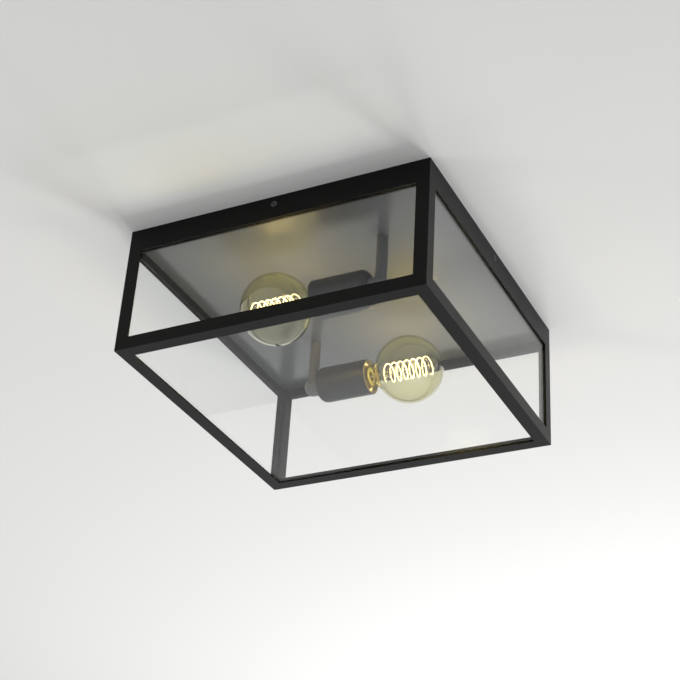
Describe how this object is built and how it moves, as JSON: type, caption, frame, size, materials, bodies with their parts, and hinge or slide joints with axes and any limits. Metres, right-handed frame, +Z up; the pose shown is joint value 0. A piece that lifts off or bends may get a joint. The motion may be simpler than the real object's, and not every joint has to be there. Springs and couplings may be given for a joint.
{
  "type": "flush ceiling lantern",
  "caption": "Flush square ceiling lantern: a drop-off cage of folded angle bars and clear glass panes round side-lying globe lamps on a shallow ceiling pan.",
  "frame": {"origin": "centre of the plane where the mounting strap and the pan's rim meet the ceiling", "axes": "+Z up into the ceiling, X along the lamps, Y from front to back"},
  "size_m": [0.3608, 0.3608, 0.154],
  "materials": {
    "black_coat": "black powder coat, satin",
    "pan_grey": "grey paint, satin",
    "holder_grey": "moulded, satin",
    "white_ceramic": "glazed",
    "brass": "bright",
    "zinc_steel": "zinc plated",
    "dark_steel": "blackened",
    "black_rubber": "matt",
    "white_plastic": "moulded",
    "lead_sleeve": "smooth sleeve",
    "green_sleeve": "smooth sleeve",
    "clear_glass": "clear float glass",
    "amber_glass": "clear with a faint amber tint",
    "mount_glass": "drawn glass",
    "dark_glass": "black glass insulator",
    "filament": "lit filament"
  },
  "bodies": {
    "base": {"ceiling_pan": "pan_grey", "mounting_strap": "zinc_steel", "cable_grommet": "black_rubber", "pan_screws": "zinc_steel", "terminal_block": "white_plastic", "terminal_screws": "brass", "earth_stud": "zinc_steel", "earth_nut": "zinc_steel", "earth_lead": "green_sleeve", "lamp_leads_a": "lead_sleeve", "lamp_leads_b": "lead_sleeve", "lamp_stem_a": "pan_grey", "stem_nut_a": "zinc_steel", "elbow_a": "pan_grey", "holder_shell_a": "holder_grey", "holder_insert_a": "white_ceramic", "holder_contacts_a": "brass", "lamp_stem_b": "pan_grey", "stem_nut_b": "zinc_steel", "elbow_b": "pan_grey", "holder_shell_b": "holder_grey", "holder_insert_b": "white_ceramic", "holder_contacts_b": "brass"},
    "cage": {"top_band_front": "black_coat", "top_band_right": "black_coat", "top_band_back": "black_coat", "top_band_left": "black_coat", "bottom_rail_front": "black_coat", "bottom_rail_right": "black_coat", "bottom_rail_back": "black_coat", "bottom_rail_left": "black_coat", "side_glass_front": "clear_glass", "side_glass_right": "clear_glass", "side_glass_back": "clear_glass", "side_glass_left": "clear_glass", "corner_post_front_left": "black_coat", "corner_post_front_right": "black_coat", "corner_post_back_right": "black_coat", "corner_post_back_left": "black_coat", "bottom_glass": "clear_glass", "glazing_seals": "black_rubber", "threaded_inserts": "dark_steel"},
    "screw_front": {"set_screw_front": "dark_steel"},
    "screw_right": {"set_screw_right": "dark_steel"},
    "screw_back": {"set_screw_back": "dark_steel"},
    "screw_left": {"set_screw_left": "dark_steel"},
    "bulb_a_cap": {"bulb_cap_a": "brass", "bulb_insulator_a": "dark_glass", "bulb_tip_a": "zinc_steel"},
    "bulb_a_globe": {"bulb_globe_a": "amber_glass", "bulb_stem_a": "mount_glass", "bulb_filament_a": "filament", "bulb_wires_a": "zinc_steel"},
    "bulb_b_cap": {"bulb_cap_b": "brass", "bulb_insulator_b": "dark_glass", "bulb_tip_b": "zinc_steel"},
    "bulb_b_globe": {"bulb_globe_b": "amber_glass", "bulb_stem_b": "mount_glass", "bulb_filament_b": "filament", "bulb_wires_b": "zinc_steel"}
  },
  "joints": [
    {"name": "cage_drop", "type": "slide", "parent": "base", "child": "cage", "axis": [0, 0, -1], "range_m": [0, 0.2]},
    {"name": "screw_front_turn", "type": "hinge", "parent": "cage", "child": "screw_front", "pos_m": [0, -0.178, -0.01], "axis": [0, -1, 0], "range_deg": [0, 720]},
    {"name": "screw_right_turn", "type": "hinge", "parent": "cage", "child": "screw_right", "pos_m": [0.178, 0, -0.01], "axis": [1, 0, 0], "range_deg": [0, 720]},
    {"name": "screw_back_turn", "type": "hinge", "parent": "cage", "child": "screw_back", "pos_m": [0, 0.178, -0.01], "axis": [0, 1, 0], "range_deg": [0, 720]},
    {"name": "screw_left_turn", "type": "hinge", "parent": "cage", "child": "screw_left", "pos_m": [-0.178, 0, -0.01], "axis": [-1, 0, 0], "range_deg": [0, 720]},
    {"name": "bulb_a_out", "type": "slide", "parent": "base", "child": "bulb_a_cap", "axis": [1, 0, 0], "range_m": [0, 0.0108]},
    {"name": "bulb_a_turn", "type": "hinge", "parent": "bulb_a_cap", "child": "bulb_a_globe", "pos_m": [0, 0.085, -0.076], "axis": [1, 0, 0], "range_deg": [0, 1080]},
    {"name": "bulb_b_out", "type": "slide", "parent": "base", "child": "bulb_b_cap", "axis": [-1, 0, 0], "range_m": [0, 0.0108]},
    {"name": "bulb_b_turn", "type": "hinge", "parent": "bulb_b_cap", "child": "bulb_b_globe", "pos_m": [0, -0.085, -0.076], "axis": [-1, 0, 0], "range_deg": [0, 1080]}
  ],
  "couplings": [
    {"joint": "bulb_a_turn", "follows": "bulb_a_out", "rad_per_m": 1731.5},
    {"joint": "bulb_b_turn", "follows": "bulb_b_out", "rad_per_m": 1731.5}
  ]
}
